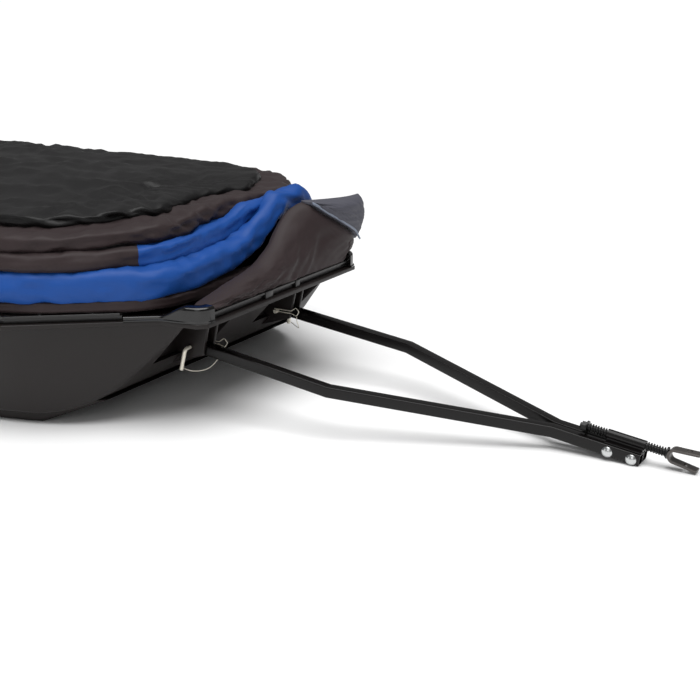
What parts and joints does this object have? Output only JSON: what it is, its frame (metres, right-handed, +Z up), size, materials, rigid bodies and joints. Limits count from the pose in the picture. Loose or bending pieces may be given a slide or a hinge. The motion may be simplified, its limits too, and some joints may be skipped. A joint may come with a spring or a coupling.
{
  "type": "towed shelter sled",
  "caption": "Towed moulded sled with a folded fabric shelter packed on its rim and a rigid two-arm tow hitch with a sprung, swivelling clevis.",
  "frame": {"origin": "on the floor, midway between the stern of the rim and the tips of the tow clevis", "axes": "+X forward to the tow clevis, +Y to the sled's left side, +Z up"},
  "size_m": [2.973, 1.132, 0.48],
  "materials": {
    "bare_steel": "dark zinc plated strap",
    "black_fabric": "coated polyester, black",
    "black_steel": "black oxide",
    "blue_fabric": "coated polyester, blue",
    "brown_fabric": "coated polyester, dark brown",
    "cap_plastic": "moulded plastic, glossy",
    "frame_black": "black powder coat",
    "grey_fabric": "coated polyester, grey",
    "hitch_black": "black powder coat, semi-gloss",
    "pin_zinc": "zinc plated wire and rod",
    "pole_steel": "black powder coat",
    "rail_black": "black powder coat, satin",
    "seat_vinyl": "padded vinyl, black",
    "tub_plastic": "rotomoulded polyethylene, matt",
    "zinc_steel": "bright zinc plated"
  },
  "bodies": {
    "sled": {"bench_tubes": "frame_black", "black_bundle": "black_fabric", "blue_fabric": "blue_fabric", "brown_fold": "brown_fabric", "brown_roll": "brown_fabric", "front_cap_left": "cap_plastic", "front_cap_right": "cap_plastic", "front_panel": "brown_fabric", "front_rail_centre": "rail_black", "front_rail_left": "rail_black", "front_rail_right": "rail_black", "grey_panel": "grey_fabric", "hub_bolts": "zinc_steel", "inner_pole_bow": "pole_steel", "middle_pole_bow": "pole_steel", "outer_pole_bow": "pole_steel", "pole_hub_left": "frame_black", "pole_hub_right": "frame_black", "rail_clips": "rail_black", "rail_screws": "zinc_steel", "seat_pad_left": "seat_vinyl", "seat_pad_right": "seat_vinyl", "seat_pan_left": "frame_black", "seat_pan_right": "frame_black", "side_rail_left": "rail_black", "side_rail_right": "rail_black", "skirt_fabric": "brown_fabric", "stern_cap_left": "cap_plastic", "stern_cap_right": "cap_plastic", "stern_rail": "rail_black", "tub": "tub_plastic"},
    "hitch": {"hitch_arm_left": "hitch_black", "hitch_arm_right": "hitch_black", "arm_bush_left": "zinc_steel", "arm_bush_right": "zinc_steel", "coupler_bracket": "hitch_black", "coupler_sleeve": "hitch_black", "coupler_bolts": "zinc_steel", "coupler_nuts": "zinc_steel", "coupler_washers": "zinc_steel", "rear_spring": "black_steel", "front_spring": "black_steel"},
    "draw_carriage": {"rear_thrust_washer": "black_steel", "front_thrust_washer": "black_steel"},
    "tow_clevis": {"draw_rod": "black_steel", "lock_nut": "black_steel", "clevis": "bare_steel"},
    "pin_left": {"hitch_pin_left": "pin_zinc", "pin_lanyard_left": "pin_zinc"},
    "clip_left": {"pin_clip_left": "pin_zinc"},
    "pin_right": {"hitch_pin_right": "pin_zinc", "pin_lanyard_right": "pin_zinc"},
    "clip_right": {"pin_clip_right": "pin_zinc"}
  },
  "joints": [
    {"name": "hitch_lift", "type": "hinge", "parent": "sled", "child": "hitch", "pos_m": [0.32351, 0, 0.154], "axis": [0, -1, 0], "range_deg": [-6, 32]},
    {"name": "draw_slide", "type": "slide", "parent": "hitch", "child": "draw_carriage", "axis": [0.991, 0, -0.1336], "range_m": [-0.02, 0.02], "stiffness_N_per_m": 9000, "deforming": ["rear_spring", "front_spring"]},
    {"name": "clevis_swivel", "type": "hinge", "parent": "draw_carriage", "child": "tow_clevis", "pos_m": [1.31815, 0, 0.04712], "axis": [0.991, 0, -0.1336], "continuous": true},
    {"name": "pin_left_turn", "type": "hinge", "parent": "sled", "child": "pin_left", "pos_m": [0.32351, 0.1877, 0.154], "axis": [0, 1, 0], "range_deg": [-2, 30]},
    {"name": "clip_left_pull", "type": "slide", "parent": "pin_left", "child": "clip_left", "axis": [1, 0, 0], "range_m": [0, 0.022]},
    {"name": "pin_right_turn", "type": "hinge", "parent": "sled", "child": "pin_right", "pos_m": [0.32351, -0.1877, 0.154], "axis": [0, 1, 0], "range_deg": [-2, 30]},
    {"name": "clip_right_pull", "type": "slide", "parent": "pin_right", "child": "clip_right", "axis": [1, 0, 0], "range_m": [0, 0.022]}
  ]
}
